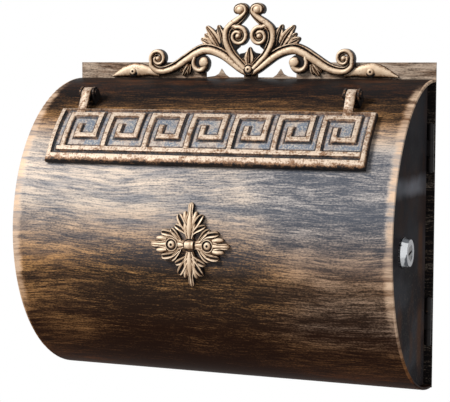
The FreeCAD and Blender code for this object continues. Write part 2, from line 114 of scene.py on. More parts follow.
class Relief:
    """Collects swept bars, beads and webs of one casting, with a patina value per vertex."""

    def __init__(self, place):
        self.place = place
        self.verts, self.faces, self.patina, self.painted_light = [], [], [], []

    def vertex(self, u, v, h, patina, painted_light=0.0):
        self.verts.append(self.place(u, v, h))
        self.patina.append(patina)
        self.painted_light.append(painted_light)
        return len(self.verts) - 1

    def rings(self, rings, closed=True):
        """Joins each ring, or open row, of vertices to the next one."""
        for a, b in zip(rings, rings[1:]):
            n = len(a)
            for i in range(n if closed else n - 1):
                j = (i + 1) % n
                self.faces.append((a[i], a[j], b[j], b[i]))

    def solid(self, rings):
        """Joins the rings and caps both ends."""
        self.rings(rings)
        self.faces.append(tuple(reversed(rings[0])))
        self.faces.append(tuple(rings[-1]))

    def bar(self, knots, section, round_end=True, step=0.9):
        """Sweeps a section along (u, v, width, height) knots.  A round end closes in a half circle."""
        path = smooth_path(knots, step)
        run = [0.0]
        for a, b in zip(path, path[1:]):
            run.append(run[-1] + math.dist(a[:2], b[:2]))
        rings = []
        for i, (u, v, w, h) in enumerate(path):
            a, b = path[max(i - 1, 0)], path[min(i + 1, len(path) - 1)]
            du, dv = b[0] - a[0], b[1] - a[1]
            length = math.hypot(du, dv) or 1.0
            nu, nv = -dv / length, du / length
            shrink = 1.0
            gap = run[-1] - run[i]
            if round_end and gap < w / 2:
                shrink = math.sqrt(max(0.02, 1 - (1 - 2 * gap / w) ** 2))
            half = w / 2 * shrink
            tall = h * (0.35 + 0.65 * shrink)
            rings.append([self.vertex(u + nu * s * half, v + nv * s * half, q * tall, p)
                          for s, q, p in section])
        self.solid(rings)

    def bead(self, u, v, r, h, profile, sides=28):
        """Turned bead: profile is (radius share, height share, patina) from rim to crown."""
        around = [2 * math.pi * k / sides for k in range(sides)]
        self.solid([[self.vertex(u + r * share * math.cos(a), v + r * share * math.sin(a), h * up,
                                 patina) for a in around]
                    for share, up, patina in profile])

    def web(self, outline, h, patina):
        """Flat-topped web with a bevelled edge between bars."""
        cu = sum(p[0] for p in outline) / len(outline)
        cv = sum(p[1] for p in outline) / len(outline)
        self.solid([[self.vertex(cu + (u - cu) * grow, cv + (v - cv) * grow, h * up, patina)
                     for u, v in outline]
                    for grow, up in ((1.0, 0.0), (1.0, 0.7), (0.93, 1.0))])

    def build(self, name, sharp=50):
        mesh = bpy.data.meshes.new(name)
        mesh.from_pydata([tuple(c * MM for c in v) for v in self.verts], [], self.faces)
        for label, values in (("patina", self.patina), ("painted_light", self.painted_light)):
            attribute = mesh.attributes.new(label, "FLOAT", "POINT")
            attribute.data.foreach_set("value", values)
        return finish_mesh(mesh, name, sharp)


def finish_mesh(mesh, name, sharp):
    bm = bmesh.new()
    bm.from_mesh(mesh)
    bmesh.ops.recalc_face_normals(bm, faces=bm.faces)
    bm.to_mesh(mesh)
    bm.free()
    mesh.shade_smooth()
    mesh.set_sharp_from_angle(angle=math.radians(sharp))
    obj = bpy.data.objects.new(name, mesh)
    bpy.context.scene.collection.objects.link(obj)
    return obj


def mirrored(half):
    """Whole section from its left side; a point in the middle isn't repeated."""
    return half + [(-side, up, patina) for side, up, patina in reversed(half) if side < 0]


# Sections across a bar: (side -1..1, height share, patina).
RIMMED = [(-1, 0, 1), (-1, 0.58, 1), (-0.92, 0.78, 0.45), (-0.74, 0.92, 0.1),
          (-0.4, 1, 0), (-0.02, 0.99, 0), (0.28, 0.88, 0.2), (0.42, 0.68, 0.85),
          (0.52, 0.64, 0.95), (0.62, 0.76, 0.4), (0.74, 0.84, 0.1), (0.88, 0.78, 0.25),
          (1, 0.55, 0.95), (1, 0, 1)]
ROUNDED = mirrored([(-1, 0, 1), (-1, 0.42, 0.85), (-0.88, 0.66, 0.35), (-0.62, 0.86, 0.1),
                    (-0.3, 0.97, 0), (0, 1, 0)])
VEINED = mirrored([(-1, 0, 1), (-1, 0.5, 0.6), (-0.8, 0.8, 0.1), (-0.5, 0.84, 0.1),
                   (-0.22, 0.7, 0.6), (-0.1, 0.9, 0.15), (0, 1, 0)])
LOOPED = mirrored([(-1, 0, 1), (-1, 0.66, 0.8), (-0.8, 1, 0.05), (-0.46, 0.94, 0.1),
                   (-0.22, 0.56, 1)])
RIBBED = mirrored([(-1, 0, 1), (-1, 0.6, 0.7), (-0.8, 0.84, 0.1), (-0.6, 0.84, 0.2),
                   (-0.46, 0.74, 0.7), (-0.3, 0.92, 0.1), (0, 1, 0)])
# Profiles of a bead: (radius share, height share, patina) from rim to crown.
BEAD = [(1, 0, 1), (1, 0.45, 0.8), (0.9, 0.68, 0.3), (0.7, 0.86, 0.08), (0.4, 0.97, 0),
        (0.12, 1, 0)]
SOFT_BEAD = [(1, 0, 1), (1, 0.78, 0.5), (0.9, 0.88, 0.25), (0.7, 0.95, 0.08),
             (0.4, 0.99, 0), (0.12, 1, 0)]
DARK_DISC = [(1, 0, 1), (1, 0.9, 1), (0.2, 1, 1)]
# Section of a lug's strap, all round: (side -1..1, height share, patina).
STRAP = [(-1, 0.05, 0.35), (-0.6, 0, 0.2), (0.6, 0, 0.2), (1, 0.05, 0.35),
         (1, 0.95, 0.35), (0.6, 1, 0.2), (-0.6, 1, 0.2), (-1, 0.95, 0.35)]


# ---- shader helpers ----

def rgba(colour):
    return (*colour[:3], 1.0)


class Nodes:
    """Short calls for one node tree."""

    def __init__(self, tree):
        self.tree = tree

    def add(self, kind, **values):
        node = self.tree.nodes.new(kind)
        for key, value in values.items():
            setattr(node, key, value)
        return node

    def feed(self, socket, value):
        if isinstance(value, bpy.types.NodeSocket):
            self.tree.links.new(value, socket)
        elif value is not None:
            socket.default_value = value

    def math(self, op, a, b=None):
        node = self.add("ShaderNodeMath", operation=op)
        for socket, value in zip(node.inputs, (a, b)):
            self.feed(socket, value)
        return node.outputs[0]

    def times(self, product, *factors):
        for factor in factors:
            product = self.math("MULTIPLY", product, factor)
        return product

    def plus(self, total, *values):
        for value in values:
            total = self.math("ADD", total, value)
        return total

    def minus(self, a, b):
        return self.math("SUBTRACT", a, b)

    def sway(self, noise, amount):
        """Noise centred on nought, times an amount."""
        return self.times(self.minus(noise, 0.5), amount)

    def length(self, a, b):
        return self.math("SQRT", self.plus(self.times(a, a), self.times(b, b)))

    def mix(self, factor, a, b):
        node = self.add("ShaderNodeMix", data_type="RGBA")
        self.feed(node.inputs[0], factor)
        self.feed(node.inputs[6], a)
        self.feed(node.inputs[7], b)
        return node.outputs[2]

    def span(self, value, low, high, out_low=0.0, out_high=1.0, smooth=True):
        node = self.add("ShaderNodeMapRange",
                        interpolation_type="SMOOTHSTEP" if smooth else "LINEAR")
        for socket, v in zip(node.inputs[:5], (value, low, high, out_low, out_high)):
            self.feed(socket, v)
        return node.outputs[0]

    def band(self, value, low, low_full, high_full, high):
        """Mask that rises between the first two limits and falls between the last two."""
        return self.times(self.span(value, low, low_full), self.span(value, high, high_full))

    def ramp(self, value, stops):
        """Colour ramp over (place, colour or grey level) stops."""
        node = self.add("ShaderNodeValToRGB")
        ramp = node.color_ramp
        while len(ramp.elements) < len(stops):
            ramp.elements.new(0.5)
        for element, (place, colour) in zip(ramp.elements, stops):
            element.position = place
            element.color = rgba((colour,) * 3 if isinstance(colour, float) else colour)
        self.feed(node.inputs[0], value)
        return node.outputs[0]

    def noise(self, vector, scale, detail=3.0, rough=0.55, offset=(0, 0, 0)):
        """Noise over a vector that is first stretched and shifted."""
        mapping = self.add("ShaderNodeMapping")
        self.feed(mapping.inputs["Vector"], vector)
        mapping.inputs["Scale"].default_value = scale
        mapping.inputs["Location"].default_value = offset
        node = self.add("ShaderNodeTexNoise")
        self.feed(node.inputs["Vector"], mapping.outputs[0])
        node.inputs["Scale"].default_value = 1.0
        node.inputs["Detail"].default_value = detail
        node.inputs["Roughness"].default_value = rough
        return node.outputs[0]

    def position(self):
        return self.add("ShaderNodeTexCoord").outputs["Object"]

    def axes(self, vector):
        node = self.add("ShaderNodeSeparateXYZ")
        self.feed(node.inputs[0], vector)
        return node.outputs

    def vector(self, x, y, z):
        node = self.add("ShaderNodeCombineXYZ")
        for socket, value in zip(node.inputs, (x, y, z)):
            self.feed(socket, value)
        return node.outputs[0]

    def dress(self, shader, colour, roughness, height, distance, strength):
        """Feeds a shader its colour, its roughness and a bump from the height."""
        bump = self.add("ShaderNodeBump")
        bump.inputs["Strength"].default_value = strength
        bump.inputs["Distance"].default_value = distance
        self.feed(bump.inputs["Height"], height)
        self.feed(shader.inputs["Base Color"], colour)
        self.feed(shader.inputs["Roughness"], roughness)
        self.feed(shader.inputs["Normal"], bump.outputs[0])

    def place(self, group, **values):
        node = self.add("ShaderNodeGroup", node_tree=group)
        for key, value in values.items():
            self.feed(node.inputs[key.title()], value)
        return node


def new_group(name, inputs, outputs):
    """Shader node group with named sockets; returns its tree, helper, input and output nodes."""
    tree = bpy.data.node_groups.new(name, "ShaderNodeTree")
    kinds = {"value": "NodeSocketFloat", "colour": "NodeSocketColor", "vector": "NodeSocketVector"}
    for label, kind, default in inputs:
        socket = tree.interface.new_socket(name=label, in_out="INPUT", socket_type=kinds[kind])
        if default is not None:
            socket.default_value = default
    for label, kind in outputs:
        tree.interface.new_socket(name=label, in_out="OUTPUT", socket_type=kinds[kind])
    nodes = Nodes(tree)
    return tree, nodes, nodes.add("NodeGroupInput").outputs, nodes.add("NodeGroupOutput").inputs


def dry_brush_group():
    """Gold paint dragged nearly dry over a dark ground, with strokes along the first axis."""
    name = "dry brush"
    if name in bpy.data.node_groups:
        return bpy.data.node_groups[name]
    tree, n, given, out = new_group(name, [
        ("Surface", "vector", None), ("Coverage", "value", 0.5),
        ("Ground", "colour", (0.02, 0.018, 0.016, 1)), ("Gold", "colour", (0.5, 0.38, 0.24, 1)),
        ("Shade", "colour", (0.22, 0.14, 0.08, 1)),
    ], [("Color", "colour"), ("Mask", "value"), ("Roughness", "value"), ("Height", "value")])
    surface = given["Surface"]
    x, y, z = n.axes(surface)
    waver = n.noise(surface, (12, 17, 12), 2.0)
    swing = n.noise(surface, (5, 6, 5), 1.0, offset=(5.1, 2.3, 0))
    drawn = n.vector(x, n.plus(y, n.sway(waver, 0.008), n.sway(swing, 0.022)), z)
    hairs = n.noise(drawn, (60, 880, 60), 2.0, 0.75)
    streaks = n.noise(drawn, (28, 360, 28), 4.0, 0.75, offset=(3.1, 1.7, 0))
    sweeps = n.noise(drawn, (12, 80, 12), 4.0, 0.7, offset=(7.7, 0.4, 0))
    patches = n.noise(surface, (9, 26, 9), 3.0, 0.6, offset=(1.3, 5.2, 0))
    dust = n.noise(surface, (480, 900, 480), 3.0, 0.75)
    body = n.plus(n.times(hairs, 0.4), n.times(streaks, 0.22), n.times(sweeps, 0.18),
                  n.times(patches, 0.2), n.sway(dust, 0.42))
    body = n.plus(n.sway(body, 2.5), 0.5)
    level = n.minus(1.0, given["Coverage"])
    mask = n.span(body, n.minus(level, 0.36), n.plus(level, 0.34))
    tone = n.span(n.plus(n.times(streaks, 0.4), n.times(sweeps, 0.6)), 0.38, 0.6)
    paint = n.mix(tone, given["Shade"], given["Gold"])
    n.feed(out["Color"], n.mix(mask, given["Ground"], paint))
    n.feed(out["Mask"], mask)
    n.feed(out["Roughness"], n.plus(n.times(mask, 0.22), 0.32))
    n.feed(out["Height"], n.times(mask, n.plus(n.times(hairs, 0.5), 0.6)))
    return tree


KEY_LIGHT_FROM = (-0.52, -0.52, 0.68)  # direction of the key light, up and to the left; the castings' painted shade and highlight follow it


def cast_gold_group():
    """Rubbed gold over black on a casting: worn bright on the high places, black in the low ones, with a
    painted highlight on the sides turned to the key light and painted shade on those turned away.
    """
    name = "rubbed gold casting"
    if name in bpy.data.node_groups:
        return bpy.data.node_groups[name]
    tree, n, given, out = new_group(name, [
        ("Patina", "value", 0.0), ("Amount", "value", 0.5),
        ("Gold", "colour", (0.8, 0.63, 0.46, 1)), ("Ochre", "colour", (0.5, 0.34, 0.21, 1)),
        ("Brown", "colour", (0.22, 0.13, 0.07, 1)),
        ("Black", "colour", (0.018, 0.015, 0.014, 1)),
    ], [("Color", "colour"), ("Roughness", "value"), ("Height", "value")])
    where = n.position()
    blotch = n.noise(where, (120, 120, 120), 3.0, 0.65)
    grit = n.noise(where, (620, 620, 620), 3.0, 0.7)
    rub = n.noise(where, (140, 420, 420), 2.0, 0.6)
    facing_light = n.add("ShaderNodeVectorMath", operation="DOT_PRODUCT")
    n.feed(facing_light.inputs[0], n.add("ShaderNodeTexCoord").outputs["Normal"])
    facing_light.inputs[1].default_value = KEY_LIGHT_FROM
    facing_light = facing_light.outputs["Value"]
    # Patina in the hollows, plus painted shade on the sides turned away from the key light.
    patina_and_shade = n.plus(given["Patina"], n.sway(grit, 1.1), n.sway(blotch, 1.0), n.sway(rub, 0.5),
                  n.sway(given["Amount"], 0.6), n.span(facing_light, 0.55, -0.35, 0.0, 0.5))
    brown = n.span(patina_and_shade, 0.1, 0.5)
    black = n.span(patina_and_shade, 0.46, 0.8)
    # Painted highlight: brighter gold on the sides turned to the key light, duller ochre on those turned
    # away, broken up by blotches.
    rubbed = n.plus(facing_light, n.sway(blotch, 1.6))
    lit_and_shaded_gold = n.mix(n.span(rubbed, 0.05, 0.8), given["Ochre"], given["Gold"])
    colour = n.mix(black, n.mix(brown, lit_and_shaded_gold, given["Brown"]), given["Black"])
    n.feed(out["Color"], colour)
    n.feed(out["Roughness"], n.plus(n.times(grit, 0.2), 0.34))
    n.feed(out["Height"], n.plus(n.times(grit, 0.6), n.times(blotch, 0.4)))
    return tree


def new_material(name):
    """Empty material with its Principled shader; returns (material, helper, shader)."""
    material = bpy.data.materials.new(name)
    material.use_nodes = True
    shader = material.node_tree.nodes["Principled BSDF"]
    return material, Nodes(material.node_tree), shader


def finish_on(obj, material):
    obj.data.materials.clear()
    obj.data.materials.append(material)


def finish_nodes(material, *names):
    for name in names:
        finish_on(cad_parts[name], material)


# ---- settings ----

def swatch(label, about, value):
    """Colour setting with its default value."""
    return FloatVectorProperty(name=label, description=about, subtype="COLOR", size=3, min=0, max=1,
                               default=value)


class MailboxEnamel(bpy.types.PropertyGroup):
    ground: swatch("Ground", "Black enamel over the top", (0.014, 0.012, 0.012))
    # Painted reflection of the sky: the bluish ground on the brow.
    sky_reflection_ground: swatch("Cool ground", "Ground showing through on the brow of the drum",
                        (0.098, 0.108, 0.132))
    mid_ground: swatch("Middle ground", "Ground showing through at mid height", (0.03, 0.021, 0.016))
    low_ground: swatch("Low ground", "Brown-black round the bottom", (0.024, 0.0105, 0.0065))
    gold: swatch("Gold", "Dry-brushed gold on the brow", (0.72, 0.595, 0.48))
    # Painted shade and sky reflection: paler, greyer gold on the brow towards the door.
    shade_and_sky_gold: swatch("Cool gold", "Paler, cooler gold on the brow towards the door", (0.52, 0.5, 0.495))
    mid_gold: swatch("Middle gold", "Gold at mid height", (0.68, 0.355, 0.135))
    low_gold: swatch("Low gold", "Copper brown round the bottom", (0.165, 0.06, 0.024))
    cool_shade: swatch("Cool shade", "Thin paint on the brow", (0.33, 0.315, 0.315))
    mid_shade: swatch("Middle shade", "Thin paint at mid height", (0.2, 0.102, 0.052))
    low_shade: swatch("Low shade", "Thin paint round the bottom", (0.078, 0.03, 0.013))
    plate_gold: swatch("Plate gold", "Brushed gold on the back plate", (0.6, 0.47, 0.36))
    edge_gold: swatch("Edge gold", "Paint worn bright along the drum's rims", (0.78, 0.56, 0.39))
    door: swatch("Door", "Satin enamel of the side door", (0.022, 0.02, 0.022))
    # Painted highlight: the bluish band and sheen painted across the door.
    door_sheen: swatch("Door haze", "Bluish bloom across the door", (0.3, 0.315, 0.35))
    door_rust: swatch("Door rust", "Brown stain low on the door", (0.105, 0.052, 0.03))


class MailboxCasting(bpy.types.PropertyGroup):
    # Gold and ochre are partly painted light: gold on the sides turned to the key light, ochre on those
    # turned away.
    gold: swatch("Gold", "Rubbed gold on the high places", (0.84, 0.655, 0.47))
    ochre: swatch("Ochre", "Duller gold where the cloth rubbed less", (0.56, 0.385, 0.245))
    flap_gold: swatch("Flap gold", "Rubbed gold on the flap's border and frieze", (0.74, 0.6, 0.47))
    brown: swatch("Brown", "Thin gold on the castings", (0.23, 0.118, 0.058))
    black: swatch("Black", "Patina in the hollows", (0.01, 0.008, 0.008))
    # Painted shade: the blue-grey in the flap's sunk field.
    field: swatch("Field", "Cool bloom in the flap's sunk field", (0.17, 0.2, 0.25))
    relief: FloatProperty(name="Relief", description="Height of the flap's frieze in millimetres",
                          default=2.2, min=0.5, max=2.2)


class MailboxStudio(bpy.types.PropertyGroup):
    key: FloatProperty(name="Key light", description="Power of the large front softbox",
                       default=61.0, min=0.0, unit="POWER")
    fill: FloatProperty(name="Fill light", description="Power of the right-hand fill",
                        default=5.0, min=0.0, unit="POWER")
    floor_drop: FloatProperty(name="Floor drop", description="Floor below the drum's axis",
                              default=0.45, min=0.2, unit="LENGTH")
    lens: FloatProperty(name="Lens", description="Camera focal length in millimetres",
                        default=119.247, min=20.0)


# ---- case ----

def wrapped_surface(n):
    """(vector along X and round the drum, half turns above the front, radius, x) for shading."""
    x, y, z = n.axes(n.position())
    angle = n.math("ARCTAN2", z, n.times(y, -1.0))
    around = n.times(angle, DRUM_R * MM)
    return n.vector(x, around, 0.0), n.math("DIVIDE", angle, math.pi), n.length(y, z), x


def brush_on(n, shader, surface, cover, ground, gold, shade):
    """Feeds the dry brush to a shader and returns the mask of its paint."""
    brush = n.place(dry_brush_group(), surface=surface, coverage=cover, ground=ground, gold=gold,
                    shade=shade).outputs
    n.dress(shader, brush["Color"], brush["Roughness"], brush["Height"], 0.0001, 0.6)
    return brush["Mask"]


def drum_material(look):
    """Brushed drum; height runs from 0 at the bottom, over 0.5 at the front, to 1 at the top."""
    material, n, shader = new_material("brushed black and gold drum")
    surface, turn, radius, x = wrapped_surface(n)
    height = n.span(turn, -0.5, 0.5, smooth=False)
    # Partly painted light: the heavy gold on the brow stands in for the key light's highlight, the
    # bluish ground there for a painted reflection of the sky, and the thin paint over the black top for
    # painted shade.
    cover = n.ramp(height, [(0.0, 0.18), (0.16, 0.32), (0.28, 0.34), (0.38, 0.37), (0.46, 0.46),
                            (0.56, 0.59), (0.7, 0.62), (0.77, 0.46), (0.83, 0.25), (0.86, 0.2),
                            (1.0, 0.14)])
    gold = n.ramp(height, [(0.16, look.low_gold), (0.45, look.mid_gold), (0.57, look.gold),
                           (0.7, look.gold), (0.77, look.mid_gold), (0.87, look.low_gold)])
    shade = n.ramp(height, [(0.24, look.low_shade), (0.43, look.mid_shade), (0.56, look.cool_shade),
                            (0.7, look.cool_shade), (0.77, look.mid_shade),
                            (0.84, look.low_shade)])
    ground = n.ramp(height, [(0.3, look.low_ground), (0.43, look.mid_ground),
                             (0.56, look.sky_reflection_ground), (0.7, look.sky_reflection_ground),
                             (0.77, look.mid_ground), (0.84, look.ground)])
    drift = n.noise(surface, (14, 30, 14), 3.0, 0.6, offset=(4.0, 1.0, 0))
    wander = n.sway(drift, 0.1)
    from_middle = n.math("ABSOLUTE", x)
    # Painted shade and sky reflection: thinner, cooler paint on the brow towards the door.
    shade_and_sky_side = n.times(n.span(n.plus(x, wander), 0.015, 0.085),
                        n.band(height, 0.47, 0.53, 0.67, 0.72))
    cover = n.minus(cover, n.times(shade_and_sky_side, 0.26))
    # Darker paint below the brow, round the middle.
    middle = n.math("ABSOLUTE", n.plus(x, 0.012, wander))
    darker_middle = n.times(n.span(middle, 0.118, 0.04), n.span(height, 0.53, 0.46))
    cover = n.minus(cover, n.times(darker_middle, 0.2))
    # Paint worn bright beside each rim, and the gilded rims themselves.
    edge = n.noise(surface, (40, 130, 40), 3.0, 0.6, offset=(2.0, 6.0, 0))
    worn = n.times(n.span(n.plus(from_middle, n.sway(edge, 0.008)), 0.1562, 0.1618),
                   n.band(height, 0.3, 0.42, 0.84, 0.94))
    cover = n.plus(cover, n.times(worn, 0.46))
    rim = n.times(n.span(from_middle, 0.1622, 0.164), n.span(height, 0.1, 0.2))
    cover = n.math("MAXIMUM", cover, n.times(rim, 0.95))
    # Painted reflection: a few strokes on the top stand in for the crest's faint reflection there.
    cover = n.plus(cover, n.times(n.band(height, 0.86, 0.91, 0.95, 0.99),
                                  n.span(drift, 0.44, 0.6, 0.0, 0.22)))
    gold = n.mix(n.times(shade_and_sky_side, 0.65), gold, rgba(look.shade_and_sky_gold))
    dull_side = n.times(n.span(n.plus(x, wander), 0.03, 0.12),
                        n.band(height, 0.24, 0.34, 0.47, 0.52))
    gold = n.mix(n.times(dull_side, 0.45), gold, rgba(look.cool_shade))
    gold = n.mix(n.times(n.math("MAXIMUM", worn, rim), n.span(height, 0.22, 0.46)), gold,
                 rgba(look.edge_gold))
    outside = n.span(radius, 0.1291, 0.1295)
    cover = n.times(cover, n.math("MAXIMUM", outside, rim))
    mask = brush_on(n, shader, surface, cover, ground, gold, shade)
    front = n.band(height, 0.3, 0.44, 0.72, 0.84)
    n.feed(shader.inputs["Metallic"], n.times(mask, front, 0.12))
    shader.inputs["Specular IOR Level"].default_value = 0.003
    return material


def sheet_material(name, look, cover, gold, shade, gold_top_shaded_below=False):
    """Flat sheet with the same brushing; the back plate is gold only at the top, with painted shade in
    thin paint below it.
    """
    material, n, shader = new_material(name)
    x, y, z = n.axes(n.position())
    surface = n.vector(n.plus(x, y), z, 0.0)
    if gold_top_shaded_below:
        # Painted shade: little gold on the plate below the drum's top, where it lies in shadow.
        cover = n.span(z, 0.126, 0.131, 0.18, cover)
    mask = brush_on(n, shader, surface, cover, rgba(look.ground), rgba(gold), rgba(shade))
    n.feed(shader.inputs["Metallic"], n.times(mask, 0.12))
    shader.inputs["Specular IOR Level"].default_value = 0.03
    return material


class MAILBOX_OT_case(bpy.types.Operator):
    """Brushes the drum, the back plate and the closed end"""
    bl_idname = "mailbox.case"
    bl_label = "Case"

    def execute(self, context):
        look = context.scene.mailbox_enamel
        finish_nodes(drum_material(look), "drum_shell")
        plate = sheet_material("brushed back plate", look, 0.6, look.plate_gold, look.mid_shade, True)
        finish_nodes(plate, "back_plate")
        end = sheet_material("brushed end panel", look, 0.3, look.mid_gold, look.low_shade)
        finish_nodes(end, "left_end_panel")
        return {"FINISHED"}


class MAILBOX_OT_side_door(bpy.types.Operator):
    """Paints the side door and the frame it shuts against in satin black"""
    bl_idname = "mailbox.side_door"
    bl_label = "Side door"

    def execute(self, context):
        look = context.scene.mailbox_enamel
        material, n, shader = new_material("satin black door")
        y, z = n.axes(n.position())[1:]
        smear = n.noise(n.position(), (20, 22, 16), 4.0, 0.65)
        cloud = n.noise(n.position(), (14, 16, 26), 2.0, 0.5, offset=(0, 3.0, 1.0))
        grain = n.noise(n.position(), (700, 700, 420), 3.0, 0.7)
        level = n.plus(z, n.sway(smear, 0.014))
        # Painted highlight: a soft bluish band across the door, and a faint painted bluish sheen clouded
        # over its lower part.
        painted_light = n.band(level, 0.034, 0.043, 0.046, 0.056)
        veil = n.times(n.span(cloud, 0.42, 0.66), n.span(z, 0.03, -0.02, 0.04, 0.1))
        painted_sheen = n.math("MAXIMUM", n.times(painted_light, n.span(cloud, 0.3, 0.62, 0.2, 0.75)), veil)
        rust = n.times(n.span(smear, 0.44, 0.64), n.span(z, 0.0, -0.1, 0.22, 0.75))
        hem = n.times(n.band(y, -0.036, -0.026, -0.022, -0.012), n.span(z, 0.03, 0.0),
                      n.span(cloud, 0.3, 0.6))
        rust = n.math("MAXIMUM", rust, n.times(hem, 0.8))
        satin = n.mix(rust, n.mix(painted_sheen, rgba(look.door), rgba(look.door_sheen)), rgba(look.door_rust))
        fleck = n.times(n.span(grain, 0.56, 0.7), n.span(z, 0.02, -0.06, 0.06, 0.3))
        n.dress(shader, n.mix(fleck, satin, (0.3, 0.23, 0.165, 1)),
                n.plus(n.times(smear, 0.2), 0.3), grain, 0.00005, 0.4)
        shader.inputs["Specular IOR Level"].default_value = 0.002
        finish_nodes(material, "side_door", "door_frame")
        return {"FINISHED"}


# ---- castings ----

def rubbed_and_lit_gold(name, look, gold, amount):
    """Rubbed gold by a casting's patina, with painted highlight and shade by how each side is turned to
    the key light; returns (material, helper, shader, the gold's colour).
    """
    material, n, shader = new_material(name)
    patina = n.add("ShaderNodeAttribute", attribute_name="patina").outputs["Fac"]
    cast = n.place(cast_gold_group(), patina=patina, amount=amount, gold=rgba(gold),
                   ochre=rgba(look.ochre), brown=rgba(look.brown), black=rgba(look.black)).outputs
    n.dress(shader, cast["Color"], cast["Roughness"], cast["Height"], 0.00022, 0.6)
    shader.inputs["Metallic"].default_value = 0.15
    shader.inputs["Specular IOR Level"].default_value = 0.15
    return material, n, shader, cast["Color"]


def casting_material(name, look, amount):
    return rubbed_and_lit_gold(name, look, look.gold, amount)[0]


def crest_place(side):
    def place(x, z, h):
        return side * x, -PLATE_FRONT - h, DRUM_R + z
    return place


def crest_half(side, relief):
    """Scrollwork of one half; (x, height above the drum, width, thickness)."""
    relief.place = crest_place(side)
    # Leaf fan over the main arm, and the small leaves under it.
    relief.web([(20, 24), (22, 42), (25, 44), (29.5, 44.6), (32.6, 41.6), (37, 44), (40.4, 43.6),
                (40.2, 38), (42.5, 34.6), (45, 31.5), (40, 26), (30, 22)], 3.8, 0.92)
    for knots in ([(24.6, 28, 6, 4), (26.6, 37, 8.6, 5), (30, 46.6, 2.8, 4.2)],
                  [(28, 27, 6, 4), (33.4, 36, 9.6, 5.6), (41.2, 45.8, 3, 4.4)],
                  [(30.5, 27, 4, 4), (36.8, 33.6, 6.4, 5), (43, 39, 2.4, 4.2)],
                  [(32, 27.5, 5, 4), (39.8, 31.8, 8, 5.2), (46.4, 34.8, 2.8, 4.2)],
                  [(56.5, 12, 3, 4.6), (57.4, 6.4, 3.6, 4.6), (58.6, 3, 1.6, 3.4)],
                  [(57, 12.4, 3.4, 4.8), (60.4, 7, 4.2, 5), (63.8, 1.9, 1.8, 3.4)],
                  [(58.5, 12.4, 3, 4.6), (62.8, 9, 3.8, 4.6), (66, 5, 1.6, 3.4)]):
        relief.bar(knots, VEINED)
    # Tapering foot with its rivet.
    relief.bar([(86, 4.4, 7, 4), (95, 5.8, 8.4, 4.2), (103, 6.9, 11.4, 4.3),
                (110, 7.4, 12.6, 4.4), (117, 6.4, 11, 4.3), (124, 4.4, 7.4, 4),
                (129, 2.8, 4.2, 3.6), (133, 1.6, 1.4, 3)], ROUNDED, round_end=False)
    rivet_x, rivet_up, seat = CREST_RIVETS[side + 1]
    relief.bead(side * rivet_x, rivet_up, 4.3, seat + 0.05, DARK_DISC, 24)
    # Main arm, which ends in the outer scroll.
    relief.bar([(1.5, 5, 7.2, 6), (8, 8.6, 7.8, 6.2), (15, 14, 8.6, 6.2), (24, 20.6, 9.4, 6.2),
                (33.5, 24.6, 9.8, 6.2), (42, 25.6, 10, 6.2), (50, 22.8, 9.8, 6.2),
                (60, 16.8, 9.2, 6.2), (70, 10.6, 8.8, 6.2), (79, 7.2, 8, 6.3),
                (87, 7, 7.2, 6.6), (92.2, 10.6, 6.4, 7)]
               + spiral(86.4, 17, 6.6, 1.6, -20, 430, 5.8, 3.6, 7.2, 7.8, fall=1.5), RIMMED)
    relief.bead(86.2, 17.2, 2.7, 7.8, BEAD, 16)
    # Lower disc, hooked round its own bead.
    relief.bead(45.2, 12.8, 8, 4.6, DARK_DISC, 24)
    relief.bar([(51.4, 20.8, 4, 5.6)]
               + spiral(45.2, 12.8, 7.5, 3.4, 30, -226, 3.9, 7.6, 6.4, 7.8, fall=1.5), ROUNDED)
    relief.bead(41.9, 13.8, 4.7, 8, SOFT_BEAD, 24)
    # Inner arm, which rises to the curl at the crown.
    relief.bar([(3.5, 9, 6.8, 6.8), (10, 15.4, 7.2, 6.8), (15.3, 21, 7.4, 6.9),
                (19.8, 29.5, 7.6, 7), (21.2, 36, 7.6, 7), (20, 42.2, 7.6, 7),
                (15.6, 46.6, 7.6, 7), (9.8, 50.4, 7.2, 7), (4.6, 54.6, 5.4, 7.2),
                (2.4, 58.2, 4.2, 7.4), (3.6, 62, 4, 7.4), (7.4, 63.5, 3.8, 7.4),
                (11.6, 61.9, 4, 7.4), (12.4, 58.8, 4.2, 7.4), (10.4, 56, 3.6, 7.4)], RIMMED)
    relief.bead(7.9, 59.4, 4.7, 8.1, BEAD, 22)
    # Scroll inside the heart, over its web.
    relief.web([(16.5, 21), (20, 29), (21, 37), (19, 43), (13, 44.5), (9, 40), (7.5, 33),
                (9.5, 27.5), (12.6, 25)], 4.2, 0.95)
    relief.bar([(19.4, 43.2, 4.2, 5.8), (15.2, 44.8, 5.6, 6.2)]
               + spiral(10, 36.5, 7.3, 1.7, 72, 455, 6, 4.4, 6.6, 7.9, fall=1.35), RIMMED)
    relief.bead(9.8, 36.5, 3, 7.9, BEAD, 16)


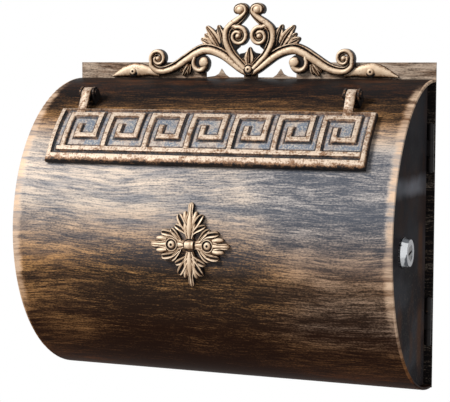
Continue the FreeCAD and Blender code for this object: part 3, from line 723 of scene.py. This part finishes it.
class MAILBOX_OT_crest(bpy.types.Operator):
    """Casts the scrollwork crest in relief and rubs it with gold"""
    bl_idname = "mailbox.crest"
    bl_label = "Crest"

    def execute(self, context):
        look = context.scene.mailbox_casting
        relief = Relief(crest_place(1))
        for side in (1, -1):
            crest_half(side, relief)
        relief.place = crest_place(1)
        relief.web([(-3, 9), (-8.6, 15.5), (-9.4, 21.5), (-4.6, 22.4), (0, 26.4), (4.6, 22.4),
                    (9.4, 21.5), (8.6, 15.5), (3, 9)], 3.4, 0.97)
        for sign in (1, -1):
            relief.bar([(sign * 1.6, 12, 3.6, 4.6), (sign * 5, 15.6, 3.6, 4.6),
                        (sign * 6.6, 19, 1.4, 3.8)], VEINED)
        relief.bar([(0, 11, 4.6, 5.4), (0, 14.5, 8.2, 6.2), (0, 18.5, 9.6, 6.4), (0, 22.5, 6.6, 6),
                    (0, 27.4, 1.4, 4.4)], VEINED)
        relief.bead(0, 7.7, 5.6, 6.6, [(1, 0, 1), (1, 0.7, 0.9), (0.9, 0.94, 0.35),
                                       (0.8, 1, 0.5), (0.7, 0.92, 1), (0.3, 0.92, 1)])
        crest = relief.build("crest_casting")
        finish_on(crest, casting_material("rubbed gold crest", look, 0.54))
        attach(crest, "case")
        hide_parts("crest")
        return {"FINISHED"}


def rosette_place(turn):
    """Place on the drum of a point u along and v beside the arm that is turned so many quarters."""
    c, s = math.cos(math.radians(90 * turn)), math.sin(math.radians(90 * turn))

    def place(u, v, h):
        x = ROSETTE_X + c * u - s * v
        arc = ROSETTE_Z + s * u + c * v
        y, z = polar(DRUM_R + 0.05 + h, math.degrees(arc / DRUM_R))
        return x, y, z
    return place


# Profile of a blind rivet: (radius, height over its seat, patina).
RIVET = [(1.6, "foot", 0.6), (1.6, 0, 0.6), (3.1, 0, 0.9), (3.1, 0.35, 0.35), (2.75, 0.95, 0.05),
         (2.1, 1.32, 0), (1.35, 1.5, 0.05), (1, 1.42, 0.7), (0.9, 0.8, 1)]


def set_rivet(relief, u, v, seat, foot):
    """Blind rivet: shank from its foot, domed head on its seat and the open mandrel hole."""
    relief.bead(u, v, 1.0, 1.0, [(r, foot if up == "foot" else seat + up, p) for r, up, p in RIVET], 24)


def finish_rivets(name, node, relief, look):
    rivets = relief.build(name)
    finish_on(rivets, casting_material(name.replace("_", " "), look, 0.3))
    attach(rivets, "case")
    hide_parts(node)


class MAILBOX_OT_rivets(bpy.types.Operator):
    """Sets the blind rivets of the crest and the rosette"""
    bl_idname = "mailbox.rivets"
    bl_label = "Rivets"

    def execute(self, context):
        look = context.scene.mailbox_casting
        relief = Relief(crest_place(1))
        for x, up, seat in CREST_RIVETS:
            set_rivet(relief, x, up, seat, -PLATE_FRONT)
        finish_rivets("crest_blind_rivets", "crest_rivets", relief, look)
        relief = Relief(rosette_place(0))
        for u in (-ROSETTE_RIVET, ROSETTE_RIVET):
            set_rivet(relief, u, 0.0, ROSETTE_SEAT, -ROSETTE_SEAT)
        finish_rivets("rosette_blind_rivets", "rosette_rivets", relief, look)
        return {"FINISHED"}


# Lobes beside one arm: (distance from the centre, to the side, width, height) and the section.
SHORT_ARM = (([(9, 2, 3, 3.6), (11.6, 5.2, 4.6, 4.2), (13.8, 9.2, 5.2, 4.2),
               (15.6, 13.4, 3.2, 3.2)], LOOPED),
             ([(11.5, 2.2, 3.4, 3.8), (16, 5.2, 6, 4.8), (20.4, 8, 6.4, 4.8),
               (24.4, 10.6, 4.4, 3.6)], LOOPED),
             ([(17, 2.8, 3, 4), (22, 4.2, 4.2, 4.6), (27, 5, 2.2, 3.4)], ROUNDED))
LONG_ARM = (([(8, 3, 2.8, 3.4), (10.6, 6.6, 4, 3.8), (13.6, 10, 4.8, 4),
              (16.8, 12.8, 3, 3.2)], LOOPED),
            ([(9.6, 4.2, 2.6, 3.2), (14.6, 7.8, 4.2, 3.9), (20, 9.2, 5.4, 4.6),
              (25.2, 9.8, 4.2, 3.6)], LOOPED),
            ([(20, 4.2, 3, 4), (24.4, 4.8, 4.2, 4.6), (29.4, 4.8, 2.2, 3.4)], ROUNDED))
# Profile of the boss round a rivet: (radius share, height, patina).
RIVET_BOSS = [(1, 0, 1), (1, 3.4, 0.6), (0.94, 4.2, 0.1), (0.84, 4.2, 0.2), (0.78, 3.05, 1),
              (0.5, 3.05, 1)]


class MAILBOX_OT_rosette(bpy.types.Operator):
    """Casts the four-armed leaf rosette, bent to the drum"""
    bl_idname = "mailbox.rosette"
    bl_label = "Rosette"

    def execute(self, context):
        look = context.scene.mailbox_casting
        relief = Relief(None)
        for turn in range(4):
            relief.place = rosette_place(turn)
            relief.web([(3, -2.8), (9, -4.6), (14, -8), (22, -7), (22, 7), (14, 8), (9, 4.6), (3, 2.8)],
                       2.6, 0.55)
            long_arm = turn % 2 == 0
            for sign in (1, -1):
                for knots, section in (LONG_ARM if long_arm else SHORT_ARM):
                    relief.bar([(u, sign * v, w, h) for u, v, w, h in knots], section, step=0.8)
            if long_arm:
                relief.bar([(5.2, 0, 5, 3.8), (8, 0, 8, 3.8), (11, 0, 9.6, 3.4)], RIBBED,
                           round_end=False, step=0.8)
                relief.bead(ROSETTE_RIVET, 0, 5.4, 1, RIVET_BOSS)
                rest = [(20.4, 0, 8.4, 4.3)]
            else:
                rest = [(5.2, 0, 5, 3.8), (9, 0, 8.8, 4.4), (14, 0, 11.2, 4.8), (19.6, 0, 9.6, 4.8)]
            relief.bar(rest + [(24, 0, 5.6, 4.4), (27, 0, 4.6, 4), (31, 0, 5, 3.8),
                               (34.2, 0, 2.8, 2.8)], RIBBED, step=0.8)
        relief.place = rosette_place(0)
        relief.bead(0, 0, 5.6, 2.6, [(1, 0, 1), (1, 1, 0.9), (0.5, 1, 1)], 24)
        relief.bar([(-3.6, 0, 7, 5.4), (3.6, 0, 7, 5.4)], ROUNDED, round_end=False)
        relief.bead(0, 0, 3.6, 5.9, BEAD, 20)
        rosette = relief.build("rosette_casting")
        finish_on(rosette, casting_material("rubbed gold rosette", look, 0.3))
        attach(rosette, "case")
        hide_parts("rosette")
        return {"FINISHED"}


# ---- letter flap ----

# Widths of the flap's border, then the running key: how many, its stroke and its height.
BORDER_LOW, BORDER_HIGH, BORDER_SIDE = 7.9, 2.1, 5.0
KEY_COUNT, STROKE, KEY_TALL = 7, 4.6, 40.0
KEY_GAP = 6.0
CELL = (2 * FLAP_HALF - 2 * BORDER_SIDE - KEY_GAP) / KEY_COUNT


def key_strokes():
    """Rectangles (u, v, width, height) of the running key, in flap face coordinates."""
    wide = CELL - KEY_GAP
    inner, sill, drop = 10.5, 13.0, 14.0  # the inner turn: how far along, how high, how tall
    low = (BORDER_LOW + FLAP_TALL - BORDER_HIGH - KEY_TALL) / 2
    join = KEY_GAP / 2
    strokes = []
    for i in range(KEY_COUNT):
        u = -FLAP_HALF + BORDER_SIDE + KEY_GAP + i * CELL
        for du, dv, w, h in ((-join, 0, CELL + join, STROKE), (0, 0, STROKE, KEY_TALL),
                             (0, KEY_TALL - STROKE, wide, STROKE),
                             (wide - STROKE, sill, STROKE, KEY_TALL - sill),
                             (inner, sill, wide - inner, STROKE), (inner, sill, STROKE, drop)):
            strokes.append((u + du, low + dv, w, h))
    return strokes


def flap_height(u, v, strokes, relief):
    """(height over the flap's back, patina, painted shade) at a point of the flap's face."""
    base, top = FLAP_FIELD_R - FLAP_BACK_R, FLAP_FACE_R - FLAP_BACK_R
    edge = min(FLAP_HALF - abs(u), v, FLAP_TALL - v)
    inset = min((FLAP_HALF - abs(u)) - BORDER_SIDE, v - BORDER_LOW, (FLAP_TALL - v) - BORDER_HIGH)
    frame_rise = 1 - smoothstep((inset + 0.9) / 1.4)
    r = 1.9  # rounding of the outer edge
    border = top - r + math.sqrt(r * r - (r - min(edge, r)) ** 2)
    key = max(min(u - a, a + w - u, v - b, b + h - v) for a, b, w, h in strokes)
    rise = smoothstep((key + 0.55) / 1.1)
    height = base + (border - base) * frame_rise
    height = max(height, base + relief * rise) if edge > r else border
    # Dirt stays beside the strokes and the border.
    near_key = smoothstep(1 - abs(key + 0.9) / 1.5)
    near_frame = smoothstep(1 - abs(inset - 0.6) / 2.2)
    field = (1 - rise) * (1 - frame_rise)
    crease = max(near_key, 0.8 * near_frame)
    lower_edge = smoothstep((4.6 - v) / 4.0)
    patina = field * (0.25 + 0.75 * crease) + (0.28 + 0.44 * lower_edge) * (1 - field)
    arris = 0.7  # width of the worn corner all round
    if edge < arris:
        # The top edge's pale gold is partly wear and partly a painted highlight along the lip.
        patina = 0.05 if FLAP_TALL - v < arris else 0.42
    # The third value is the painted shade of the sunk field.
    return height, patina, field * (1 - crease)


def flap_place(u, v, h):
    y, z = polar(FLAP_BACK_R + h, FLAP_LOW + math.degrees(v / FLAP_FIELD_R))
    return u, y, z


STRAP_THICK, CURL_R = 2.4, 3.28


def lug_place(centre):
    def place(y, z, h):
        return centre - LUG_WIDTH / 2 + h, y, z
    return place


def lug_knots():
    """Strap from the flap's top edge that curls over the pin, as (y, z, thickness, width)."""
    a = math.radians(PIN_ANGLE)
    along, out = (math.sin(a), math.cos(a)), (-math.cos(a), math.sin(a))
    pin = polar(PIN_R, PIN_ANGLE)
    curl = [math.radians(t) for t in range(95, -206, -25)]
    knots = [(*polar(FLAP_FIELD_R + 0.2, FLAP_HIGH - 1.8), STRAP_THICK, LUG_WIDTH),
             (*polar(FLAP_FIELD_R + 1.2, FLAP_HIGH + 0.4), STRAP_THICK + 0.05, LUG_WIDTH)]
    for u, v in [(-7.4, 0.6), (-4.0, 2.9)] + [(CURL_R * math.cos(t), CURL_R * math.sin(t))
                                              for t in curl]:
        knots.append((pin[0] + u * along[0] + v * out[0], pin[1] + u * along[1] + v * out[1],
                      STRAP_THICK, LUG_WIDTH))
    return knots


class MAILBOX_OT_letter_flap(bpy.types.Operator):
    """Casts the curved flap with its border, running key frieze and two rolled lugs"""
    bl_idname = "mailbox.letter_flap"
    bl_label = "Letter flap"

    def execute(self, context):
        look = context.scene.mailbox_casting
        relief = Relief(flap_place)
        strokes = key_strokes()
        reach = 4.0  # how far beside it a stroke shapes the face
        step = 0.7
        columns = int(2 * FLAP_HALF / step)
        rows = int(FLAP_TALL / step)
        us = [-FLAP_HALF + 2 * FLAP_HALF * i / columns for i in range(columns + 1)]
        vs = [FLAP_TALL * j / rows for j in range(rows + 1)]
        face = []
        for u in us:
            close = [s for s in strokes if s[0] - reach < u < s[0] + s[2] + reach] or strokes[:1]
            face.append([relief.vertex(u, v, *flap_height(u, v, close, look.relief)) for v in vs])
        relief.rings(face, closed=False)
        low, high = [[relief.vertex(u, v, 0.0, 0.5) for u in us] for v in (0.0, FLAP_TALL)]
        left, right = [[relief.vertex(u, v, 0.0, 0.5) for v in vs] for u in (us[0], us[-1])]
        for pair in ((low, [column[0] for column in face]), ([column[-1] for column in face], high),
                     (left, face[0]), (face[-1], right), (right, left)):
            relief.rings(pair, closed=False)
        for centre in LUG_CENTRES:
            relief.place = lug_place(centre)
            relief.bar(lug_knots(), STRAP, round_end=False, step=0.7)
        flap = relief.build("letter_flap_casting", 60)
        finish_on(flap, flap_material(look))
        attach(flap, "flap")
        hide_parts("letter_flap")
        return {"FINISHED"}


def flap_material(look):
    """Rubbed gold with a painted blue-grey shade, flecked with paler gold, in the sunk field."""
    material, n, shader, gilt = rubbed_and_lit_gold("rubbed gold flap", look, look.flap_gold, 0.42)
    painted_light = n.add("ShaderNodeAttribute", attribute_name="painted_light").outputs["Fac"]
    grain = n.noise(n.position(), (700, 700, 700), 3.0, 0.7)
    field = n.mix(n.span(grain, 0.5, 0.6), rgba(look.field), (0.5, 0.47, 0.42, 1))
    cloud = n.span(n.noise(n.position(), (70, 70, 70), 3.0, 0.6), 0.4, 0.56)
    field_shade = n.times(painted_light, n.plus(n.times(cloud, 0.55), 0.45))
    n.feed(shader.inputs["Base Color"], n.mix(field_shade, gilt, field))
    shader.inputs["Metallic"].default_value = 0.12
    return material


# ---- hardware ----

class MAILBOX_OT_hardware(bpy.types.Operator):
    """Finishes the flap's brackets, their pins and the door hinges"""
    bl_idname = "mailbox.hardware"
    bl_label = "Brackets and hinges"

    def execute(self, context):
        look = context.scene.mailbox_casting
        finish_nodes(casting_material("blackened flap brackets", look, 1.75),
                     "flap_bracket_left", "flap_bracket_right", "flap_pins")
        finish_nodes(casting_material("black hinges", look, 2.1), "hinge_leaf_fixed_upper",
                     "hinge_leaf_fixed_lower", "hinge_leaf_door_upper", "hinge_leaf_door_lower",
                     "door_hinge_pins")
        return {"FINISHED"}


def plating(name, side, face, rough):
    """Plated metal, banded on its sides and scratched on its faces, with a dark key slot; the bands and
    the darker face are painted reflection, the slot's black painted shade.
    """
    material, n, shader = new_material(name)
    scratch = n.noise(n.position(), (300, 1500, 1500), 3.0, 0.6)
    band = n.noise(n.position(), (60, 130, 130), 1.0)
    normal = n.axes(n.add("ShaderNodeTexCoord").outputs["Normal"])
    # Painted reflection: dark bands on the sides, and a face darker than the sides of the same plating.
    shaded = n.mix(n.span(band, 0.48, 0.54), side, (0.13, 0.14, 0.155, 1))
    worn = n.mix(n.span(scratch, 0.4, 0.62), face, (0.24, 0.245, 0.26, 1))
    plated = n.mix(n.span(normal[0], 0.8, 0.96), shaded, worn)
    x, y, z = n.axes(n.position())
    # Painted shade: the key slot's depth is painted near-black.
    off_axis = n.length(n.minus(y, LOCK_Y * MM), n.minus(z, LOCK_Z * MM))
    slot = n.times(n.span(off_axis, (KEY_SLOT_R + 0.3) * MM, KEY_SLOT_R * MM),
                   n.span(x, (LOCK_FACE - 0.1) * MM, (LOCK_FACE - 0.3) * MM))
    n.dress(shader, n.mix(slot, plated, (0.004, 0.004, 0.004, 1)),
            n.span(scratch, 0.3, 0.7, rough, rough + 0.14), scratch, 0.00002, 0.4)
    shader.inputs["Metallic"].default_value = 1.0
    return material


class MAILBOX_OT_cam_lock(bpy.types.Operator):
    """Plates the cam lock: bright head and plug, dull nut, cam and screw"""
    bl_idname = "mailbox.cam_lock"
    bl_label = "Cam lock"

    def execute(self, context):
        bright = plating("bright lock plating", (0.66, 0.68, 0.7, 1), (0.12, 0.12, 0.13, 1), 0.16)
        dull = plating("dull zinc plating", (0.5, 0.5, 0.48, 1), (0.4, 0.4, 0.39, 1), 0.34)
        finish_nodes(bright, "lock_housing", "lock_plug")
        finish_nodes(dull, "lock_nut", "lock_cam", "lock_cam_screw")
        return {"FINISHED"}


# ---- studio ----

# Places in metres, about the drum's axis on the wall.
CAMERA_PLACE = (0.46737, -1.21992, 0.13641)
CAMERA_TURN = (85.01362, -0.17329, 21.97379)  # degrees about X, Y and Z
AIM = (0, -0.05, 0)  # what the softboxes face
FLOOR_R, FLOOR_SIDES = 0.95, 64


def softbox(name, place, width, height, power, colour):
    """Rectangular area lamp that faces the mailbox."""
    lamp = bpy.data.lights.new(name, "AREA")
    lamp.shape = "RECTANGLE"
    lamp.size, lamp.size_y = width, height
    lamp.energy = power
    lamp.color = colour
    obj = bpy.data.objects.new(name, lamp)
    obj.location = place
    obj.rotation_euler = (Vector(AIM) - Vector(place)).to_track_quat("-Z", "Y").to_euler()
    bpy.context.scene.collection.objects.link(obj)


class MAILBOX_OT_studio(bpy.types.Operator):
    """Sets the camera, the pale floor, the softboxes and the white surround"""
    bl_idname = "mailbox.studio"
    bl_label = "Studio"

    def execute(self, context):
        scene = context.scene
        look = scene.mailbox_studio
        scene.view_settings.view_transform = "Standard"

        lens = bpy.data.cameras.new("front camera")
        lens.lens = look.lens
        lens.sensor_width = 36.0
        lens.clip_end = 20.0
        camera = bpy.data.objects.new("front camera", lens)
        camera.location = CAMERA_PLACE
        camera.rotation_euler = [math.radians(turn) for turn in CAMERA_TURN]
        scene.collection.objects.link(camera)
        scene.camera = camera

        mesh = bpy.data.meshes.new("floor")
        turns = [2 * math.pi * k / FLOOR_SIDES for k in range(FLOOR_SIDES)]
        ring = [(FLOOR_R * math.cos(a), FLOOR_R * math.sin(a), -look.floor_drop) for a in turns]
        mesh.from_pydata(ring, [], [tuple(range(FLOOR_SIDES))])
        floor = bpy.data.objects.new("floor", mesh)
        scene.collection.objects.link(floor)
        paper, n, shader = new_material("pale floor")
        tone = n.noise(n.position(), (6, 6, 6), 2.0)
        n.feed(shader.inputs["Base Color"], n.mix(tone, (0.8, 0.8, 0.79, 1), (0.86, 0.86, 0.85, 1)))
        shader.inputs["Roughness"].default_value = 0.9
        floor.data.materials.append(paper)

        softbox("key softbox", (-1.32, -1.62, 1.4), 0.9, 0.7, look.key, (1.0, 0.985, 0.97))
        softbox("fill softbox", (1.6, -1.1, 0.35), 0.9, 0.9, look.fill, (0.96, 0.98, 1.0))

        world = bpy.data.worlds.new("white surround")
        world.use_nodes = True
        scene.world = world
        n = Nodes(world.node_tree)
        background = world.node_tree.nodes["Background"]
        rays = n.add("ShaderNodeLightPath")
        seen = n.math("MAXIMUM", rays.outputs["Is Camera Ray"], rays.outputs["Is Glossy Ray"])
        seen = n.math("MAXIMUM", seen, rays.outputs["Is Transmission Ray"])
        n.feed(background.inputs["Color"], n.mix(seen, (0.2, 0.205, 0.22, 1), (1, 1, 1, 1)))
        return {"FINISHED"}


# ---- panel and run ----

OPERATORS = (MAILBOX_OT_studio, MAILBOX_OT_case, MAILBOX_OT_side_door, MAILBOX_OT_letter_flap,
             MAILBOX_OT_crest, MAILBOX_OT_rosette, MAILBOX_OT_rivets, MAILBOX_OT_hardware,
             MAILBOX_OT_cam_lock)
SETTINGS = {"mailbox_enamel": MailboxEnamel, "mailbox_casting": MailboxCasting,
            "mailbox_studio": MailboxStudio}


class MAILBOX_PT_build(bpy.types.Panel):
    """Lists the mailbox's pieces and their settings"""
    bl_idname = "MAILBOX_PT_build"
    bl_label = "Mailbox"
    bl_space_type = "VIEW_3D"
    bl_region_type = "UI"
    bl_category = "Mailbox"

    def draw(self, context):
        for operator in OPERATORS:
            self.layout.operator(operator.bl_idname, text=operator.bl_label)
        for name, settings in SETTINGS.items():
            box = self.layout.box()
            for setting in settings.__annotations__:
                box.prop(getattr(context.scene, name), setting)


CLASSES = (*SETTINGS.values(), *OPERATORS, MAILBOX_PT_build)


def register():
    for cls in CLASSES:
        bpy.utils.register_class(cls)
    for name, settings in SETTINGS.items():
        setattr(bpy.types.Scene, name, PointerProperty(type=settings))


def unregister():
    for name in SETTINGS:
        delattr(bpy.types.Scene, name)
    for cls in reversed(CLASSES):
        bpy.utils.unregister_class(cls)


def main():
    register()
    for operator in OPERATORS:
        group, name = operator.bl_idname.split(".")
        getattr(getattr(bpy.ops, group), name)()


if __name__ == "__main__":
    main()
